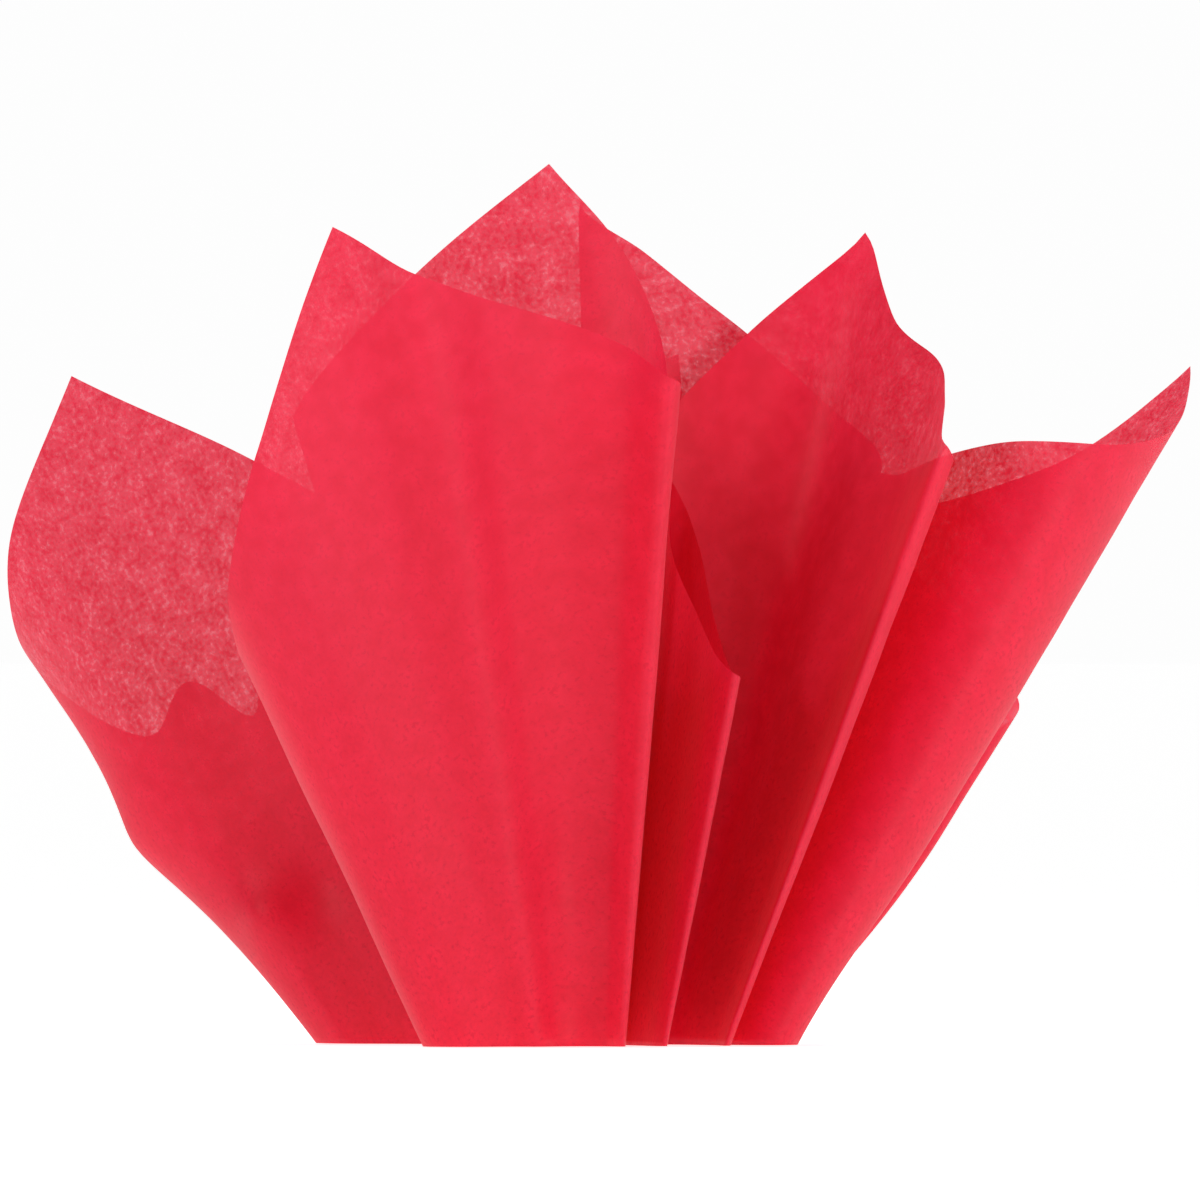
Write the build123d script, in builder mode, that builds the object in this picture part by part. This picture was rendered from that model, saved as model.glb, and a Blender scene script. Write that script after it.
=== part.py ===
from build123d import *
import os
from math import atan, cos, degrees, radians, sin

# Two gathered sheets of gift-wrap tissue paper, standing as a fan of soft petals.
# Each sheet is one whole rectangle. All its folds are straight lines that run to one
# gather point below the table, as when the sheet is pinched at its middle. The part of
# the sheet between that point and the table is pressed flat into a thin foot.
# Millimetres, +Z up, the table at Z = 0, -Y towards the person who looks at the fan.

# Driving dimensions
SHEET_WIDTH = 381.0        # short side of the flat sheet
SHEET_LENGTH = 508.0       # long side of the flat sheet
GATHER_DEPTH = 93.0        # how far the folds would meet below the table
WALL = 0.6                 # thickness of the stand-in walls; real tissue is 0.04
FOOT_THICKNESS = 1.0       # thickness of the pressed foot
WALL_START = 0.5           # height inside the foot where the walls begin
GATHER_X = -0.96           # place of the gather point, which centres the fan's
GATHER_Y = -52.02          # box over the origin

LONG_ANGLE = 2 * degrees(atan(SHEET_LENGTH / SHEET_WIDTH))   # a long side, seen from the middle
SHORT_ANGLE = 180.0 - LONG_ANGLE                             # a short side, seen from the middle

# The folds of each sheet, side by side round the rectangle. Each side starts at a corner.
# A fold is (turn, lean) in degrees: turn is to the right of upright and lean is towards
# the viewer. A third number fixes how far round the flat side the fold lies, from the
# side's first corner; the folds between such places share the flat paper by distance.
LEFT_FOLDS = [
    # back left petal, the deep pleat beside it, then up the front petal's left edge
    ("long", [(-27.0, -21.0), (-20.0, -18.5, 7.5), (-13.0, -14.0), (-6.0, -9.3), (-1.0, -5.0),
              (-4.5, -2.8), (-13.0, -1.5), (-20.5, 2.0), (-24.2, 7.0), (-25.0, 11.5, 82.0),
              (-23.5, 15.0, 90.5), (-19.5, 16.5, 97.8)]),
    # front petal's top edge, its right roll, and back behind it to the middle petal
    ("short", [(-12.4, 14.3), (-8.8, 15.2, 4.0), (-5.5, 12.4), (-2.0, 10.6), (1.5, 10.9),
               (4.2, 13.0, 17.0), (4.6, 10.0), (1.0, 7.2), (-8.0, 7.6), (-15.5, 9.4), (-16.8, 7.0),
               (-14.5, 4.0), (-8.3, 1.0, 67.5)]),
    # middle petal's right edge, then the pocket that runs in behind the left petal
    ("long", [(-2.1, 0.0), (1.3, -0.8, 3.2), (3.8, -2.8, 8.0), (4.3, -5.5, 15.0), (0.0, -9.3),
              (-6.0, -13.0), (-13.0, -18.0), (-21.0, -22.3), (-28.0, -24.8), (-33.5, -26.5, 55.0),
              (-33.5, -29.2), (-25.0, -30.0), (-17.0, -26.0), (-11.0, -21.5), (-7.0, -25.0)]),
    # pleated back, round the left end to the left petal
    ("short", [(-6.0, -31.0), (-8.5, -38.0), (-11.5, -28.0), (-14.5, -38.5), (-17.5, -30.5),
               (-20.5, -39.0), (-23.5, -33.5), (-26.5, -39.0), (-29.5, -33.5), (-33.5, -37.0),
               (-36.6, -31.5), (-37.0, -25.5, 58.5), (-34.0, -22.0, 65.5)]),
]
RIGHT_FOLDS = [
    # right petal's left edge, the narrow front flap, then in behind the middle petal
    ("long", [(12.7, -14.0), (8.2, -14.0, 4.8), (3.6, -13.2, 9.5), (6.0, -11.0), (10.3, 0.0),
              (11.2, 6.0), (10.8, 7.8, 62.0), (7.4, 1.0, 74.0), (4.2, -9.0, 93.0), (0.5, -11.4)]),
    # back middle petal's top edge, then the loose loop behind it
    ("short", [(-0.7, -14.4), (8.3, -17.2, 8.1), (16.3, -17.7), (17.0, -19.3), (12.5, -21.0),
               (-1.0, -18.6), (-3.5, -21.0), (-1.0, -24.5), (2.5, -27.0)]),
    # pleated back, round the right end to the curled tip
    ("long", [(4.5, -31.5), (7.0, -38.5), (9.5, -26.0), (12.0, -41.0), (14.5, -25.5), (17.0, -41.5),
              (19.5, -25.0), (22.0, -40.5), (24.5, -25.0), (27.3, -35.5), (29.8, -27.5),
              (30.8, -22.5, 78.0), (27.0, -20.9), (19.8, -20.9), (18.9, -18.7),
              (26.5, -17.2, 101.0)]),
    # outer right petal, the pleat beside it, then the right petal's right edge
    ("short", [(29.7, -15.0), (30.5, -10.0, 6.6), (27.5, -5.5, 12.5), (24.0, -6.0),
               (20.0, -10.5, 22.0), (16.8, -13.9), (18.4, -9.5), (20.4, -2.0), (19.8, 1.0, 51.0),
               (18.4, -5.0, 62.3), (15.7, -10.5, 66.4)]),
]


def direction(turn, lean):
    """Unit vector of a fold, from the gather point upwards."""
    a, b = radians(turn), radians(lean)
    return Vector(sin(a) * cos(b), -sin(b), cos(a) * cos(b))


def cut_radius(kind, flat):
    """Distance from the sheet's middle to its cut edge, flat degrees past the side's corner."""
    if kind == "long":
        return SHEET_WIDTH / 2 / cos(radians(flat - LONG_ANGLE / 2))
    return SHEET_LENGTH / 2 / cos(radians(flat - SHORT_ANGLE / 2))


def fold_lines(sides):
    """(direction, cut radius) of every fold of a sheet, in order round it."""
    lines = []
    for i, (kind, folds) in enumerate(sides):
        span = LONG_ANGLE if kind == "long" else SHORT_ANGLE
        next_corner = sides[(i + 1) % len(sides)][1][0]
        dirs = [direction(*f[:2]) for f in folds] + [direction(*next_corner[:2])]
        run = [0.0]
        for a, b in zip(dirs, dirs[1:]):
            run.append(run[-1] + a.get_angle(b))
        known = [(run[0], 0.0)]
        known += [(run[k], f[2]) for k, f in enumerate(folds) if len(f) == 3]
        known += [(run[-1], span)]
        for k in range(len(folds)):
            (s0, f0), (s1, f1) = next(
                (p, q) for p, q in zip(known, known[1:]) if run[k] <= q[0] or q is known[-1])
            flat = f0 + (f1 - f0) * (run[k] - s0) / (s1 - s0)
            lines.append((dirs[k], cut_radius(kind, flat)))
    return lines


GATHER = Vector(GATHER_X, GATHER_Y, -GATHER_DEPTH)


def height_radius(fold, height):
    """How far along a fold the given height over the table lies."""
    return (GATHER_DEPTH + height) / fold.Z


def panel_plane(fold_a, fold_b):
    """Plane of the flat panel between two neighbouring folds, with X along the first."""
    return Plane(origin=GATHER, x_dir=fold_a, z_dir=fold_a.cross(fold_b))


def panel_corners(line_a, line_b):
    """The panel's outline in its own plane: it is a slice of the flat sheet."""
    (fold_a, cut_a), (fold_b, cut_b) = line_a, line_b
    angle = radians(fold_a.get_angle(fold_b))
    start_a, start_b = height_radius(fold_a, WALL_START), height_radius(fold_b, WALL_START)
    return [(start_a, 0), (cut_a, 0),
            (cut_b * cos(angle), cut_b * sin(angle)),
            (start_b * cos(angle), start_b * sin(angle))]


def foot_outline(lines):
    """Where the folds meet the table."""
    points = [GATHER + fold * height_radius(fold, 0) for fold, _ in lines]
    return [(p.X, p.Y) for p in points]


def gathered_sheet(name, sides):
    """One sheet: its pressed foot and a flat panel between every two neighbouring folds."""
    lines = fold_lines(sides)
    with BuildPart() as sheet:
        with BuildSketch(Plane.XY):
            with BuildLine():
                Polyline(*foot_outline(lines), close=True)
            make_face()
        extrude(amount=FOOT_THICKNESS)
        for line_a, line_b in zip(lines, lines[1:] + lines[:1]):
            with BuildSketch(panel_plane(line_a[0], line_b[0])):
                with BuildLine():
                    Polyline(*panel_corners(line_a, line_b), close=True)
                make_face()
            extrude(amount=WALL / 2, both=True)
    sheet.part.label = name
    return sheet.part


os.makedirs("parts", exist_ok=True)
for sheet in (gathered_sheet("left_sheet", LEFT_FOLDS), gathered_sheet("right_sheet", RIGHT_FOLDS)):
    export_step(sheet, f"parts/{sheet.label}.step")
    box = sheet.bounding_box()
    print(sheet.label, "solids", len(sheet.solids()), "volume", round(sheet.volume, 1),
          "box", box.min, box.max)
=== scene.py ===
# %% [markdown]
# # A bunch of gathered tissue paper
#
# Two whole sheets of thin red gift-wrap tissue are pinched near their middles, so that
# their corners fan out as petals. This notebook starts from a rigid frame that says where
# each sheet stands, and gives every sheet its real, curling shape and its papery finish.
# All lengths are in metres.

# %% Load the frame
from math import atan, cos, degrees, radians, sin

import bmesh
import bpy
import numpy as np
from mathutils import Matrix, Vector


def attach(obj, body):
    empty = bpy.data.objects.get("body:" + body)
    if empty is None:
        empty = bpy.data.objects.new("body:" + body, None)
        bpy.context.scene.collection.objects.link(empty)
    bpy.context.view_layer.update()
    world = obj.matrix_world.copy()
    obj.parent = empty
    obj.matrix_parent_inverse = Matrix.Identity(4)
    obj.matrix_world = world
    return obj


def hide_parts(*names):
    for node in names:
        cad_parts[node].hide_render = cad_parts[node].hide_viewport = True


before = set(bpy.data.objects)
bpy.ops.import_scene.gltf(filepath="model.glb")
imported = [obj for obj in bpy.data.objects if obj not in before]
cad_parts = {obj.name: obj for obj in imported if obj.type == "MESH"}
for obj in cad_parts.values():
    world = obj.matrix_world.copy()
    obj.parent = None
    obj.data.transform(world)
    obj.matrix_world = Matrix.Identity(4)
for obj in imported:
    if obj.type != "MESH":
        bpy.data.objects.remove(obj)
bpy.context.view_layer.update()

MM = 0.001

# %% [markdown]
# ## The sheet and the pinch
#
# Tissue is sold flat, as rectangles. When one is pinched at its middle, paper can't
# stretch, so every fold is a straight line from the pinch to the cut edge. That makes the
# whole sheet a cone: it is enough to say in which direction each fold points. The cut edge
# then follows by itself, far out at the corners and near in between them, which is what
# gives the petals their points. Modelling petals one by one would lose that.

# %% Sizes of the flat sheet and place of the pinch
SHEET_WIDTH = 0.381
SHEET_LENGTH = 0.508
GATHER = Vector((-0.96 * MM, -52.02 * MM, -93.0 * MM))
FOOT_HEIGHT = 0.3 * MM                    # the pressed foot lies just over the table

LONG_ANGLE = 2 * degrees(atan(SHEET_LENGTH / SHEET_WIDTH))
SHORT_ANGLE = 180.0 - LONG_ANGLE
print("a long side spans", round(LONG_ANGLE, 2), "degrees and a short one", round(SHORT_ANGLE, 2))

# %% [markdown]
# ## The folds
#
# A fold is (turn, lean) in degrees: turn is to the right of upright, and lean is towards
# the viewer. The lists go round each rectangle, one side at a time from corner to corner.
# A third number fixes how many degrees round the flat side the fold lies. The other folds
# share the flat paper between such places by distance. A cloth simulation could fold the
# sheets too, but it wouldn't put each petal where it belongs, and this list does.

# %% The left sheet's folds
LEFT_FOLDS = [
    # back left petal, the deep pleat beside it, then up the front petal's left edge
    ("long", [(-27.0, -21.0), (-20.0, -18.5, 7.5), (-13.0, -14.0), (-6.0, -9.3), (-1.0, -5.0),
              (-4.5, -2.8), (-13.0, -1.5), (-20.5, 2.0), (-24.2, 7.0), (-25.0, 11.5, 82.0),
              (-23.5, 15.0, 90.5), (-19.5, 16.5, 97.8)]),
    # front petal's top edge, its right roll, and back behind it to the middle petal
    ("short", [(-12.4, 14.3), (-8.8, 15.2, 4.0), (-5.5, 12.4), (-2.0, 10.6), (1.5, 10.9),
               (4.2, 13.0, 17.0), (4.6, 10.0), (1.0, 7.2), (-8.0, 7.6), (-15.5, 9.4), (-16.8, 7.0),
               (-14.5, 4.0), (-8.3, 1.0, 67.5)]),
    # middle petal's right edge, then the pocket that runs in behind the left petal
    ("long", [(-2.1, 0.0), (1.3, -0.8, 3.2), (3.8, -2.8, 8.0), (4.3, -5.5, 15.0), (0.0, -9.3),
              (-6.0, -13.0), (-13.0, -18.0), (-21.0, -22.3), (-28.0, -24.8), (-33.5, -26.5, 55.0),
              (-33.5, -29.2), (-25.0, -30.0), (-17.0, -26.0), (-11.0, -21.5), (-7.0, -25.0)]),
    # pleated back, round the left end to the left petal
    ("short", [(-6.0, -31.0), (-8.5, -38.0), (-11.5, -28.0), (-14.5, -38.5), (-17.5, -30.5),
               (-20.5, -39.0), (-23.5, -33.5), (-26.5, -39.0), (-29.5, -33.5), (-33.5, -37.0),
               (-36.6, -31.5), (-37.0, -25.5, 58.5), (-34.0, -22.0, 65.5)]),
]
print("left sheet:", sum(len(side) for _, side in LEFT_FOLDS), "folds")

# %% The right sheet's folds
RIGHT_FOLDS = [
    # right petal's left edge, the narrow front flap, then in behind the middle petal
    ("long", [(12.7, -14.0), (8.2, -14.0, 4.8), (4.4, -13.5, 9.5), (3.3, -12.6), (6.0, -11.0),
              (8.4, -6.0), (10.3, 0.0), (11.2, 6.0), (10.8, 7.8, 62.0), (9.2, 6.0),
              (7.4, 1.0, 74.0), (5.0, -5.3, 84.0), (4.2, -9.0, 93.0), (0.5, -11.4)]),
    # back middle petal's top edge, then the loose loop behind it
    ("short", [(-0.7, -14.4), (2.4, -15.4, 2.7), (5.3, -16.4, 5.4), (8.3, -17.2, 8.1),
               (13.5, -17.8), (16.3, -17.6), (17.0, -19.3), (12.5, -21.0), (5.0, -20.2),
               (-1.0, -18.6), (-3.5, -21.0), (-1.0, -24.5), (2.5, -27.0)]),
    # pleated back, round the right end to the curled tip
    ("long", [(4.5, -31.5), (7.0, -38.5), (9.5, -26.0), (12.0, -41.0), (14.5, -25.5),
              (17.0, -41.5), (19.5, -25.0), (22.0, -40.5), (24.5, -25.0), (27.3, -35.5),
              (29.8, -27.5), (31.3, -22.5, 86.0), (27.0, -20.9), (19.8, -20.9), (18.9, -18.7),
              (22.5, -18.0), (26.5, -17.2, 101.0)]),
    # outer right petal, the pleat beside it, then the right petal's right edge
    ("short", [(29.7, -15.0), (30.5, -10.0, 6.6), (27.5, -5.5, 12.5), (24.0, -6.0),
               (20.0, -10.5, 22.0), (17.5, -14.3), (16.2, -13.4), (18.4, -9.5), (20.2, -4.0),
               (20.6, -0.5), (19.8, 1.0, 51.0), (19.1, -2.2, 58.0), (18.4, -5.0, 62.3),
               (15.7, -10.5, 66.4)]),
]
print("right sheet:", sum(len(side) for _, side in RIGHT_FOLDS), "folds")

# %% [markdown]
# ## From folds to a smooth fold line
#
# Paper curls between folds instead of breaking into panels. A Catmull-Rom curve passes
# through every fold and rounds the way between them. The centripetal kind is used,
# because it doesn't overshoot where a long stretch meets a tight roll.

# %% A smooth closed curve through the folds
STEPS_PER_FOLD = 16                       # points of the smooth line from one fold to the next
BLENDS = (((0, 1), (1, 2), (2, 3)), ((0, 2), (1, 3)), ((1, 2),))    # the curve's three rounds


def smooth_line(folds):
    """(turn, lean) points of a closed centripetal Catmull-Rom curve through the folds."""
    knots = np.array([f[:2] for f in folds])
    points = []
    for i in range(len(knots)):
        p = [knots[(i + k) % len(knots)] for k in (-1, 0, 1, 2)]
        gaps = [np.linalg.norm(b - a) ** 0.5 for a, b in zip(p, p[1:])]
        t = np.concatenate([[0.0], np.cumsum(gaps)])
        for u in t[1] + (t[2] - t[1]) * np.arange(STEPS_PER_FOLD) / STEPS_PER_FOLD:
            level = list(p)
            for spans in BLENDS:
                level = [((t[h] - u) * level[k] + (u - t[l]) * level[k + 1]) / (t[h] - t[l])
                         for k, (l, h) in enumerate(spans)]
            points.append(level[0])
    return np.array(points)


def directions(line):
    """Unit vectors of the folds in a (turn, lean) line."""
    turn, lean = np.radians(line).T
    return np.stack([np.sin(turn) * np.cos(lean), -np.sin(lean), np.cos(turn) * np.cos(lean)], -1)


print("upright, a fold points along", directions(np.zeros((1, 2)))[0])

# %% [markdown]
# ## Sharing out the paper
#
# On the flat sheet the folds are rays round the middle, and here they are directions in
# space. A rising curve ties the two together: it passes through every place that is fixed
# and never turns back, as paper can't be doubled in its own plane.

# %% How the flat paper is shared out along the fold line
def rising_cubic(x, y, at):
    """Smooth interpolation that never turns back, so the paper is never doubled in its plane."""
    step, rise = np.diff(x), np.diff(y) / np.diff(x)
    slope = np.zeros(len(x))
    slope[1:-1] = 3 * (step[:-1] + step[1:]) / (
        (2 * step[1:] + step[:-1]) / rise[:-1] + (step[1:] + 2 * step[:-1]) / rise[1:])
    slope[0], slope[-1] = rise[0], rise[-1]
    k = np.clip(np.searchsorted(x, at, side="right") - 1, 0, len(step) - 1)
    s = (at - x[k]) / step[k]
    return (y[k] * (1 + 2 * s) * (1 - s) ** 2 + step[k] * slope[k] * s * (1 - s) ** 2
            + y[k + 1] * s ** 2 * (3 - 2 * s) + step[k] * slope[k + 1] * s ** 2 * (s - 1))


def lay_out(sides):
    """A sheet's smooth fold line, its running length and the flat angle along it, in degrees."""
    folds = [f for _, side in sides for f in side]
    unit = directions(smooth_line(folds))
    arc = np.degrees(np.arccos(np.clip((unit * np.roll(unit, -1, 0)).sum(1), -1, 1)))
    run = np.concatenate([[0.0], np.cumsum(arc)])
    known, start, k = [], 0.0, 0
    for kind, side in sides:
        for j, fold in enumerate(side):
            if j == 0 or len(fold) == 3:
                known.append((run[k * STEPS_PER_FOLD], start + (fold[2] if j else 0.0)))
            k += 1
        start += LONG_ANGLE if kind == "long" else SHORT_ANGLE
    known.append((run[-1], start))
    x, y = np.array(known).T
    x = np.concatenate([x[-3:-1] - run[-1], x, x[1:3] + run[-1]])
    y = np.concatenate([y[-3:-1] - start, y, y[1:3] + start])
    return unit, run, lambda at: rising_cubic(x, y, at)


ROUNDING = 1e-6                           # degrees, so that a corner falls on its own side


def cut_reach(sides, flat):
    """Distance from the sheet's middle to its cut edge at each flat angle."""
    reach, start = np.zeros(len(flat)), 0.0
    for kind, _ in sides:
        long = kind == "long"
        span, half = (LONG_ANGLE, SHEET_WIDTH / 2) if long else (SHORT_ANGLE, SHEET_LENGTH / 2)
        on = (flat >= start - ROUNDING) & (flat < start + span)
        reach[on] = half / np.cos(np.radians(flat[on] - start - span / 2))
        start += span
    return reach


for name, sides in (("left", LEFT_FOLDS), ("right", RIGHT_FOLDS)):
    unit, run, flat_at = lay_out(sides)
    print(name, "sheet: the fold line is", round(run[-1], 1), "degrees long")

# %% [markdown]
# ## The flat sheet
#
# Each sheet starts as a mesh that lies flat, ruled with straight lines from its middle to
# its cut edge, like a paper fan before it is folded. The four corners get lines of their
# own, so that they stay sharp. The disc that ends up in the foot is left out for now.

# %% Rule a flat sheet
LINE_SPACING = 0.36                       # degrees of fold line from one ruled line to the next
ROWS = 84                                 # faces from the foot to the cut edge
CORNER_REACH = 0.5 * (SHEET_WIDTH ** 2 + SHEET_LENGTH ** 2) ** 0.5
DENSE_RADIUS = 0.13                       # how far a denser corner reaches


def flat_sheet(name, sides, dense_at):
    """Ruled mesh of the flat sheet, and how many ruled lines it has.

    Each point keeps its place along the fold line in "run" and its height in "up".
    dense_at lists (flat degrees, how much) of corners where the paper came out denser."""
    unit, run, flat_at = lay_out(sides)
    corners, k = [], 0
    for _, side in sides:
        corners.append(run[k * STEPS_PER_FOLD])
        k += len(side)
    stops = []
    for a, b in zip(corners, corners[1:] + [run[-1]]):
        count = max(2, round((b - a) / LINE_SPACING))
        stops.extend(np.linspace(a, b, count, endpoint=False))
    stops = np.array(stops)
    upright = np.interp(stops, run, np.append(unit[:, 2], unit[0, 2]))
    foot = (FOOT_HEIGHT - GATHER.z) / upright
    flat = np.mod(flat_at(stops), 360.0)
    cut = cut_reach(sides, flat)
    reach = foot + (cut - foot) * np.linspace(0, 1, ROWS + 1)[:, None]
    angle = np.radians(flat)[None, :]
    places = np.stack([reach * np.cos(angle), reach * np.sin(angle), np.zeros_like(reach)], -1)
    places = places.reshape(-1, 3)
    n = len(stops)
    faces = [(r * n + c, r * n + (c + 1) % n, (r + 1) * n + (c + 1) % n, (r + 1) * n + c)
             for r in range(ROWS) for c in range(n)]
    mesh = bpy.data.meshes.new(name)
    mesh.from_pydata(places.tolist(), [], faces)
    dense = np.zeros(len(places))
    for at, much in dense_at:
        corner = CORNER_REACH * np.array([cos(radians(at)), sin(radians(at))])
        away = np.linalg.norm(places[:, :2] - corner, axis=1)
        dense = np.maximum(dense, much * np.exp(-(away / DENSE_RADIUS) ** 2))
    for label, values in (("run", np.tile(stops, ROWS + 1)),
                          ("up", np.repeat(np.linspace(0, 1, ROWS + 1), n)), ("dense", dense)):
        mesh.attributes.new(label, "FLOAT", "POINT").data.foreach_set("value", values)
    uv = mesh.uv_layers.new(name="flat")
    corner_vertex = np.zeros(len(mesh.loops), np.int32)
    mesh.loops.foreach_get("vertex_index", corner_vertex)
    uv.data.foreach_set("uv", (places[corner_vertex, :2] / SHEET_LENGTH + 0.5).ravel())
    print(name, "has", n, "ruled lines and", len(faces), "faces")
    return mesh, n


# %% The fold line as a curve that the nodes can read
def fold_curve(name, sides):
    """Curve object of unit directions, and its length for one degree of "run"."""
    unit, run, _ = lay_out(sides)
    curve = bpy.data.curves.new(name, "CURVE")
    curve.dimensions = "3D"
    spline = curve.splines.new("POLY")
    spline.points.add(len(unit))
    closed = np.vstack([unit, unit[:1]])
    spline.points.foreach_set("co", np.hstack([closed, np.ones((len(closed), 1))]).ravel())
    line = bpy.data.objects.new(name, curve)
    bpy.context.scene.collection.objects.link(line)
    return line, np.linalg.norm(np.diff(closed, axis=0), axis=1).sum() / run[-1]


# %% [markdown]
# ## Folding with Geometry Nodes
#
# Folding is one rule for every point, so it is a node tree: read the direction from the
# fold line, then put the point that far from the pinch. The same tree crinkles the paper a
# little with noise, more towards the free edge, because tissue is never quite smooth.

# %% Build the folding tree
CRINKLE_DETAIL = 2.0
CRINKLE_ROUGHNESS = 0.45
CRINKLE_RISE = 0.7                        # power by which crinkles grow towards the cut edge


def folding_tree():
    """Node group that folds a ruled flat sheet along a fold line."""
    tree = bpy.data.node_groups.new("fold_sheet", "GeometryNodeTree")
    face = tree.interface
    face.new_socket("Geometry", in_out="INPUT", socket_type="NodeSocketGeometry")
    for label, kind in (("Fold Line", "Object"), ("Length per Run", "Float"), ("Pinch", "Vector"),
                        ("Crinkle Height", "Float"), ("Crinkle Size", "Float"), ("Seed", "Float"),
                        ("Paper", "Material")):
        face.new_socket(label, in_out="INPUT", socket_type="NodeSocket" + kind)
    face.new_socket("Geometry", in_out="OUTPUT", socket_type="NodeSocketGeometry")
    nodes, links = tree.nodes, tree.links

    def node(kind, **settings):
        made = nodes.new(kind)
        for key, value in settings.items():
            setattr(made, key, value)
        return made

    def maths(operation, a, b=None):
        made = node("ShaderNodeMath", operation=operation)
        for socket, value in zip(made.inputs, (a, b)):
            if isinstance(value, (int, float)):
                socket.default_value = value
            elif value is not None:
                links.new(value, socket)
        return made.outputs[0]

    def vector(operation, a, b=None, scale=None):
        made = node("ShaderNodeVectorMath", operation=operation)
        links.new(a, made.inputs[0])
        if b is not None:
            links.new(b, made.inputs[1])
        if scale is not None:
            links.new(scale, made.inputs["Scale"])
        return made.outputs["Value" if operation == "LENGTH" else "Vector"]

    given = node("NodeGroupInput").outputs
    run = node("GeometryNodeInputNamedAttribute", data_type="FLOAT")
    run.inputs["Name"].default_value = "run"
    up = node("GeometryNodeInputNamedAttribute", data_type="FLOAT")
    up.inputs["Name"].default_value = "up"
    line = node("GeometryNodeObjectInfo", transform_space="ORIGINAL")
    links.new(given["Fold Line"], line.inputs["Object"])
    sample = node("GeometryNodeSampleCurve", mode="LENGTH")
    links.new(line.outputs["Geometry"], sample.inputs["Curves"])
    links.new(maths("MULTIPLY", run.outputs["Attribute"], given["Length per Run"]),
              sample.inputs["Length"])
    flat_place = node("GeometryNodeInputPosition").outputs[0]
    reach = vector("LENGTH", flat_place)
    folded = vector("SCALE", vector("NORMALIZE", sample.outputs["Position"]), scale=reach)
    placed = vector("ADD", folded, given["Pinch"])
    fold = node("GeometryNodeSetPosition")
    links.new(given["Geometry"], fold.inputs["Geometry"])
    links.new(placed, fold.inputs["Position"])

    noise = node("ShaderNodeTexNoise", noise_dimensions="4D")
    noise.inputs["Detail"].default_value = CRINKLE_DETAIL
    noise.inputs["Roughness"].default_value = CRINKLE_ROUGHNESS
    links.new(node("GeometryNodeInputPosition").outputs[0], noise.inputs["Vector"])
    links.new(maths("DIVIDE", 1.0, given["Crinkle Size"]), noise.inputs["Scale"])
    links.new(given["Seed"], noise.inputs["W"])
    swing = maths("SUBTRACT", noise.outputs[0], 0.5)
    height = maths("MULTIPLY", maths("MULTIPLY", swing, given["Crinkle Height"]),
                   maths("POWER", up.outputs["Attribute"], CRINKLE_RISE))
    crinkle = node("GeometryNodeSetPosition")
    links.new(fold.outputs["Geometry"], crinkle.inputs["Geometry"])
    links.new(vector("SCALE", node("GeometryNodeInputNormal").outputs[0], scale=height),
              crinkle.inputs["Offset"])

    real = node("GeometryNodeRealizeInstances")
    links.new(crinkle.outputs["Geometry"], real.inputs["Geometry"])
    paper = node("GeometryNodeSetMaterial")
    links.new(real.outputs["Geometry"], paper.inputs["Geometry"])
    links.new(given["Paper"], paper.inputs["Material"])
    links.new(paper.outputs["Geometry"], node("NodeGroupOutput").inputs[0])
    return tree


FOLD_SHEET = folding_tree()
print("folding tree inputs:",
      [s.name for s in FOLD_SHEET.interface.items_tree if s.in_out == "INPUT"])

# %% [markdown]
# ## The paper
#
# Tissue is matt, dyed through and so thin that light comes through it. Its fibres lie
# unevenly, in soft clouds and short flecks, which hardly show where paper lies behind
# paper, and show as a pale mottle where one layer stands alone before the light. A painted
# mottle would show everywhere. So the surface is a mix of a matt red, a translucent red and
# a little clear gap between the fibres, and the mottle is in how much of it is gap.

# %% Red tissue paper
FLECK_SIZE = 1.5 * MM
CLOUD_SIZE = 6.0 * MM
FLECK_SHARE = 0.68                        # the rest of the mottle comes from the clouds
GLOW_SHARE = 0.40                         # how much of the paper's light comes through it
THROUGH_REDS = [(0.30, (0.88, 0.005, 0.042)), (0.70, (0.95, 0.012, 0.060))]
FRONT_REDS = [(0.30, (0.80, 0.006, 0.048)), (0.70, (0.88, 0.012, 0.064))]
GAP_TINT = (1.0, 0.50, 0.56, 1.0)
GAP_SHARES = [(0.38, (0.02, 0.02, 0.02)), (0.52, (0.09, 0.09, 0.09)), (0.66, (0.26, 0.26, 0.26))]
FIBRE_HEIGHT = 0.15 * MM


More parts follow.
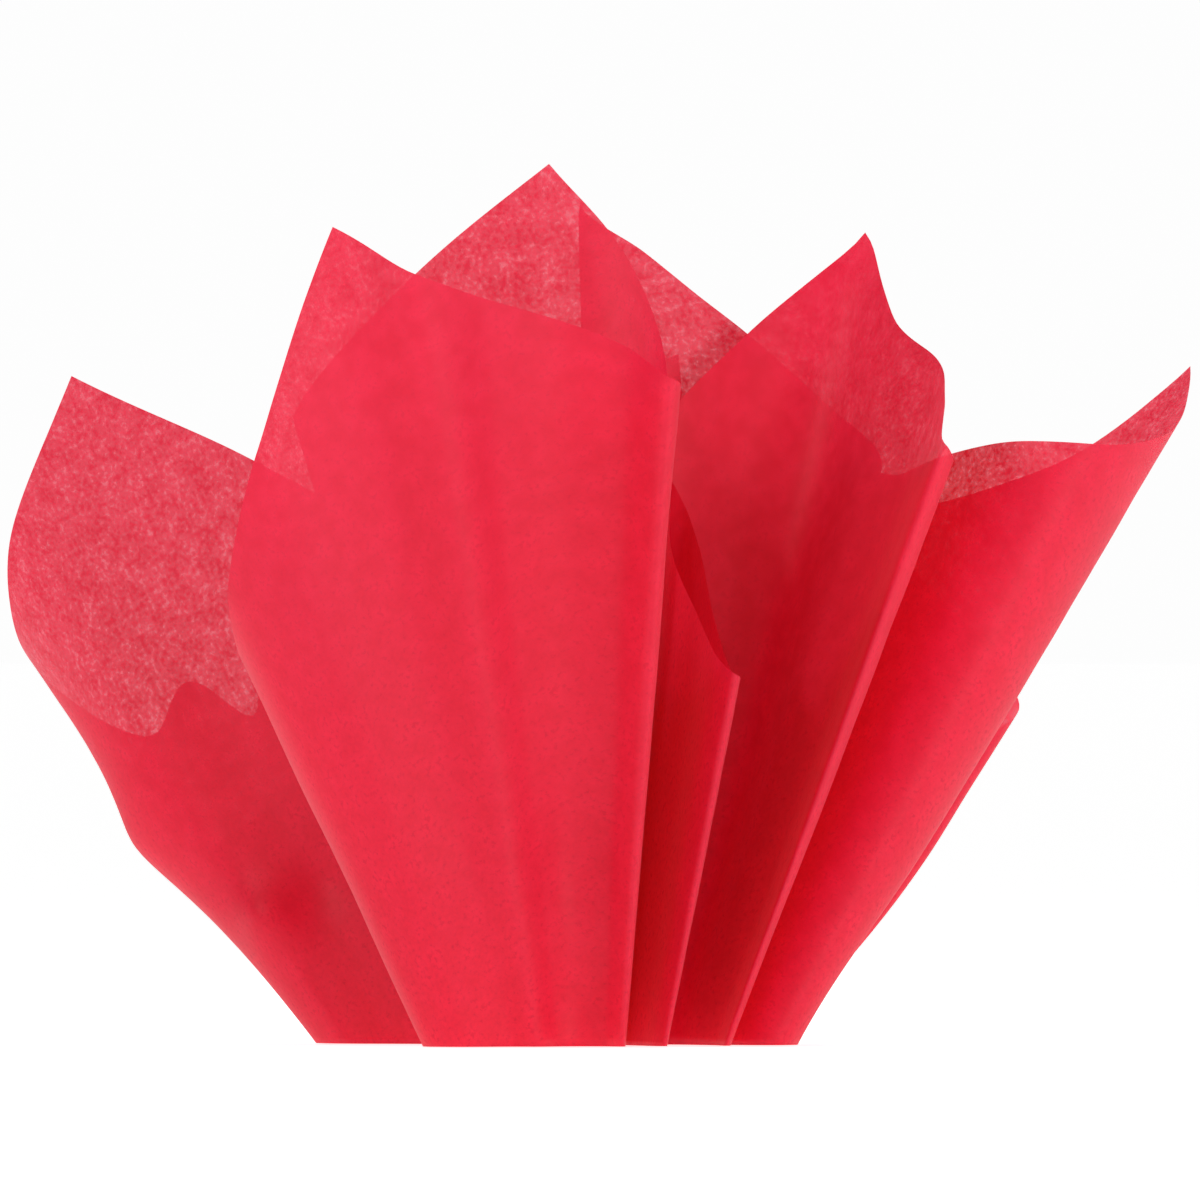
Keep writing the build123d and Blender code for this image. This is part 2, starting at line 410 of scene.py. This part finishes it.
def red_tissue():
    """Matt, translucent red tissue with a fibre mottle in the light that comes through."""
    material = bpy.data.materials.new("red_tissue")
    material.use_nodes = True
    nodes, links = material.node_tree.nodes, material.node_tree.links
    nodes.clear()
    place = nodes.new("ShaderNodeUVMap")
    place.uv_map = "flat"

    def noise(size, detail, roughness):
        made = nodes.new("ShaderNodeTexNoise")
        made.inputs["Scale"].default_value = SHEET_LENGTH / size
        made.inputs["Detail"].default_value = detail
        made.inputs["Roughness"].default_value = roughness
        links.new(place.outputs[0], made.inputs["Vector"])
        return made.outputs[0]

    def maths(operation, a, b):
        made = nodes.new("ShaderNodeMath")
        made.operation = operation
        for socket, value in zip(made.inputs, (a, b)):
            if isinstance(value, float):
                socket.default_value = value
            else:
                links.new(value, socket)
        return made.outputs[0]

    def ramp(value, stops):
        made = nodes.new("ShaderNodeValToRGB")
        made.color_ramp.interpolation = "EASE"
        for i, (at, colour) in enumerate(stops):
            stop = made.color_ramp.elements[i] if i < 2 else made.color_ramp.elements.new(at)
            stop.position, stop.color = at, (*colour, 1.0)
        links.new(value, made.inputs[0])
        return made.outputs[0]

    fibres = noise(FLECK_SIZE, 4.0, 0.66)
    clouds = noise(CLOUD_SIZE, 3.0, 0.55)
    flecks = maths("ADD", maths("MULTIPLY", fibres, FLECK_SHARE),
                   maths("MULTIPLY", clouds, 1.0 - FLECK_SHARE))
    through = ramp(clouds, THROUGH_REDS)
    front = ramp(clouds, FRONT_REDS)

    surface = nodes.new("ShaderNodeBsdfPrincipled")
    surface.inputs["Roughness"].default_value = 0.55
    surface.inputs["Specular IOR Level"].default_value = 0.48
    surface.inputs["Sheen Weight"].default_value = 0.10
    surface.inputs["Sheen Roughness"].default_value = 0.5
    links.new(front, surface.inputs["Base Color"])
    bump = nodes.new("ShaderNodeBump")
    bump.inputs["Strength"].default_value = 0.12
    bump.inputs["Distance"].default_value = FIBRE_HEIGHT
    links.new(flecks, bump.inputs["Height"])
    links.new(bump.outputs[0], surface.inputs["Normal"])
    glow = nodes.new("ShaderNodeBsdfTranslucent")
    links.new(through, glow.inputs["Color"])
    mixed = nodes.new("ShaderNodeMixShader")
    mixed.inputs[0].default_value = GLOW_SHARE
    links.new(surface.outputs[0], mixed.inputs[1])
    links.new(glow.outputs[0], mixed.inputs[2])
    clear = nodes.new("ShaderNodeBsdfTransparent")
    clear.inputs["Color"].default_value = GAP_TINT
    open_share = ramp(flecks, GAP_SHARES)
    density = nodes.new("ShaderNodeAttribute")
    density.attribute_name = "dense"
    thinness = maths("SUBTRACT", 1.0, density.outputs["Fac"])
    thin = nodes.new("ShaderNodeMixShader")
    links.new(maths("MULTIPLY", open_share, thinness), thin.inputs[0])
    links.new(mixed.outputs[0], thin.inputs[1])
    links.new(clear.outputs[0], thin.inputs[2])
    out = nodes.new("ShaderNodeOutputMaterial")
    links.new(thin.outputs[0], out.inputs["Surface"])
    return material


RED_TISSUE = red_tissue()
print(RED_TISSUE.name, "has", len(RED_TISSUE.node_tree.nodes), "nodes")

# %% [markdown]
# ## Small accidents
#
# Handling leaves its marks: a corner curls over, an edge is dented, a ridge is knocked
# out of line. Each is a soft push on the paper round one spot, which dies away with
# distance, like a thumb pressed into the sheet.

# %% Soft pushes
def push(points, centre, radius, move, sharpness=2.0):
    """Moves the points near centre, all in millimetres, and less so with distance.

    A sharpness near 1 leaves a knuckle, and 2 a soft swell."""
    away = np.linalg.norm(points / MM - np.array(centre), axis=1) / radius
    return points + np.exp(-away ** sharpness)[:, None] * np.array(move) * MM


centre_move = push(np.zeros((1, 3)), (0, 0, 0), 10, (1.0, 0, 0))[0, 0] / MM
print("a push moves its own centre by the whole of its move:", round(centre_move, 3), "of 1")

# %% [markdown]
# ## Folding one sheet
#
# The node tree is set going on a flat sheet, and its result is kept as a plain mesh, as the
# frame's tools look at finished meshes only. The crinkles are low and wide, as on paper
# that came off a folded pack.

# %% Run the folding tree on a flat sheet
CRINKLE_HEIGHT = 2.2 * MM
CRINKLE_SIZE = 45.0 * MM


def folded(name, sides, seed, dense_at):
    """The folded sheet as a plain mesh object at the origin, and how many lines it has."""
    flat, lines = flat_sheet(name + "_flat", sides, dense_at)
    line, length_per_run = fold_curve(name + "_fold_line", sides)
    sheet = bpy.data.objects.new(name, flat)
    bpy.context.scene.collection.objects.link(sheet)
    nodes = sheet.modifiers.new("fold", "NODES")
    nodes.node_group = FOLD_SHEET
    given = {"Fold Line": line, "Length per Run": float(length_per_run), "Pinch": GATHER,
             "Crinkle Height": CRINKLE_HEIGHT, "Crinkle Size": CRINKLE_SIZE, "Seed": seed,
             "Paper": RED_TISSUE}
    for socket in FOLD_SHEET.interface.items_tree:
        if socket.in_out == "INPUT" and socket.name in given:
            nodes[socket.identifier] = given[socket.name]
    bpy.context.view_layer.update()
    shape = bpy.data.meshes.new_from_object(
        sheet.evaluated_get(bpy.context.evaluated_depsgraph_get()))
    sheet.modifiers.remove(nodes)
    sheet.data = shape
    shape.name = name
    bpy.data.objects.remove(line)
    print(name, "folded:", len(shape.vertices), "points")
    return sheet, lines


# %% [markdown]
# ## Closing the foot
#
# Near the pinch the sheet is pressed flat on the table, many folds on top of each other.
# Only its outline shows, so it is one flat patch that closes the ring at the bottom.

# %% Close the ring at the bottom
def close_foot(shape, lines):
    """Fills the mesh's lowest ring with a flat patch, and says how many faces it took."""
    work = bmesh.new()
    work.from_mesh(shape)
    work.verts.ensure_lookup_table()
    ring = work.verts[:lines]
    for vertex in ring:
        vertex.co.z = FOOT_HEIGHT
    edges = [work.edges.get((a, b)) for a, b in zip(ring, ring[1:] + ring[:1])]
    filled = bmesh.ops.triangle_fill(work, use_beauty=True, use_dissolve=False, edges=edges)
    uv = work.loops.layers.uv["flat"]
    spots = {v: next(l[uv].uv.copy() for l in v.link_loops) for v in ring}
    patch = [f for f in filled["geom"] if isinstance(f, bmesh.types.BMFace)]
    for face in patch:
        for loop in face.loops:
            loop[uv].uv = spots[loop.vert]
    bmesh.ops.recalc_face_normals(work, faces=work.faces)
    if sum(f.normal.z * f.calc_area() for f in patch) > 0:
        bmesh.ops.reverse_faces(work, faces=work.faces)
    for face in work.faces:
        face.smooth = True
    work.to_mesh(shape)
    work.free()
    return len(patch)


# %% [markdown]
# ## The two sheets
#
# Both sheets are made in the same way: fold, knock about, close. The pushes are in
# millimetres, each a centre, a radius and a move.

# %% Fold both sheets
def finished_sheet(name, sides, seed, dense_at, pushes):
    """One folded sheet with its small accidents and its foot."""
    sheet, lines = folded(name, sides, seed, dense_at)
    shape = sheet.data
    points = np.zeros(len(shape.vertices) * 3)
    shape.vertices.foreach_get("co", points)
    points = points.reshape(-1, 3)
    for knock in pushes:
        points = push(points, *knock)
    shape.vertices.foreach_set("co", points.ravel())
    patch = close_foot(shape, lines)
    if not shape.materials:
        shape.materials.append(RED_TISSUE)
    area = sum(p.area for p in shape.polygons)
    print(name, "area", round(area, 4), "of", round(SHEET_WIDTH * SHEET_LENGTH, 4),
          "foot faces", patch)
    return sheet


LEFT_PUSHES = [
    ((-114, 43, 46), 24, (-11.0, 0, 0), 1.2),     # knuckle in the left petal's outer edge
    ((-84, 8, 30), 9, (-2.5, -3.0, 2.0)),         # small creases low on the left petal
    ((-72, 0, 44), 8, (2.0, 3.0, -1.0)),
    ((-16, -70, 48), 17, (0, 5.0, 0)),            # the hollow down the front petal
    ((-14, -69, 12), 14, (0, 4.0, 0)),
    ((-30, -80, 40), 14, (0, -3.5, 0)),           # and the soft ridge beside it
]
RIGHT_PUSHES = [
    ((60, 0, 0), 36, (-8.0, 0, 0)),               # the foot's right end is pinched in
    ((66, 24, 206), 9, (1.5, -4.0, 0)),           # curled tips
    ((152, 30, 176), 10, (0.5, -3.0, 0)),
]
left = finished_sheet("left_tissue", LEFT_FOLDS, 1.7, [(LONG_ANGLE, 0.55)], LEFT_PUSHES)
right = finished_sheet("right_tissue", RIGHT_FOLDS, 5.2, [(0.0, 0.85)], RIGHT_PUSHES)

# %% [markdown]
# ## Handing the sheets to the frame
#
# Each sheet takes the place of its plain stand-in and rides on the one rigid body.

# %% Ride and replace
for sheet, node in ((left, "left_sheet"), (right, "right_sheet")):
    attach(sheet, "root")
    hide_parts(node)
    print(sheet.name, "takes the place of", node)

# %% [markdown]
# ## The table
#
# The bunch stands on a pale table that seems to have no end. A curved backdrop would hide
# the horizon too, but from one side only. A wide plane that glows a little is as white as
# the room from every side.

# %% The table
TABLE_SIZE = 120.0
TABLE_GLOW = 0.75


def light_table():
    """Plain white acrylic, faintly lit from below so that it hardly takes a shadow."""
    material = bpy.data.materials.new("light_table")
    material.use_nodes = True
    surface = material.node_tree.nodes["Principled BSDF"]
    surface.inputs["Base Color"].default_value = (0.9, 0.9, 0.9, 1.0)
    surface.inputs["Roughness"].default_value = 0.9
    surface.inputs["Emission Color"].default_value = (1.0, 1.0, 1.0, 1.0)
    surface.inputs["Emission Strength"].default_value = TABLE_GLOW
    return material


bpy.ops.mesh.primitive_plane_add(size=TABLE_SIZE, location=(0, 0, 0))
table = bpy.context.object
table.name = "table"
table.data.materials.append(light_table())
print("table", TABLE_SIZE, "metres wide")

# %% [markdown]
# ## Light
#
# Tissue looks like tissue only when some light passes through it, so there is a light
# behind as well as two in front. The room is seen as white, but it lights the paper less
# than it looks, which leaves some shade between the petals.

# %% The room and three soft lights
ROOM_LIGHT = 0.27
BACKDROP = 0.985
world = bpy.data.worlds.new("white_room")
bpy.context.scene.world = world
world.use_nodes = True
room = world.node_tree
dim = room.nodes["Background"]
dim.inputs["Color"].default_value = (1.0, 1.0, 1.0, 1.0)
dim.inputs["Strength"].default_value = ROOM_LIGHT
white = room.nodes.new("ShaderNodeBackground")
white.inputs["Color"].default_value = (1.0, 1.0, 1.0, 1.0)
white.inputs["Strength"].default_value = BACKDROP
seen = room.nodes.new("ShaderNodeLightPath")
either = room.nodes.new("ShaderNodeMixShader")
room.links.new(seen.outputs["Is Camera Ray"], either.inputs[0])
room.links.new(dim.outputs[0], either.inputs[1])
room.links.new(white.outputs[0], either.inputs[2])
room.links.new(either.outputs[0], room.nodes["World Output"].inputs["Surface"])


def soft_light(name, place, aim, size, power):
    """A square area light at place, turned to aim."""
    lamp = bpy.data.lights.new(name, "AREA")
    lamp.size, lamp.energy = size, power
    holder = bpy.data.objects.new(name, lamp)
    holder.location = place
    holder.rotation_euler = (Vector(aim) - Vector(place)).to_track_quat("-Z", "Y").to_euler()
    bpy.context.scene.collection.objects.link(holder)
    return holder


MIDDLE = (0.0, 0.0, 0.12)
for lamp in (("key", (-1.5, -1.1, 1.5), MIDDLE, 0.35, 12.0),
             ("fill", (1.5, -1.5, 0.6), MIDDLE, 0.5, 16.0),
             ("back", (0.6, 1.4, 1.5), MIDDLE, 0.8, 12.0)):
    holder = soft_light(*lamp)
    print(holder.name, "light,", holder.data.energy, "watts")

# %% [markdown]
# ## The camera
#
# A long lens from far away keeps near and far petals to one scale. It looks level at the
# middle of the bunch. Much farther off, a view from another side would stand so far back
# that the picture cuts the bunch off, so ten metres is enough.

# %% The camera
CAMERA_DISTANCE = 10.0
FRAME_WIDTH = 304.8 * MM                  # width that the camera takes in at the pinch
AIM = GATHER + Vector((1.3 * MM, 0.0, 206.5 * MM))

lens = bpy.data.cameras.new("camera")
lens.sensor_width = 36.0
lens.lens = lens.sensor_width * CAMERA_DISTANCE / FRAME_WIDTH
lens.clip_end = 200.0
camera = bpy.data.objects.new("camera", lens)
camera.location = AIM - Vector((0, CAMERA_DISTANCE, 0))
camera.rotation_euler = (radians(90), 0, 0)
bpy.context.scene.collection.objects.link(camera)
bpy.context.scene.camera = camera
bpy.context.scene.view_settings.view_transform = "Standard"
print("camera with a lens of", round(lens.lens), "mm")
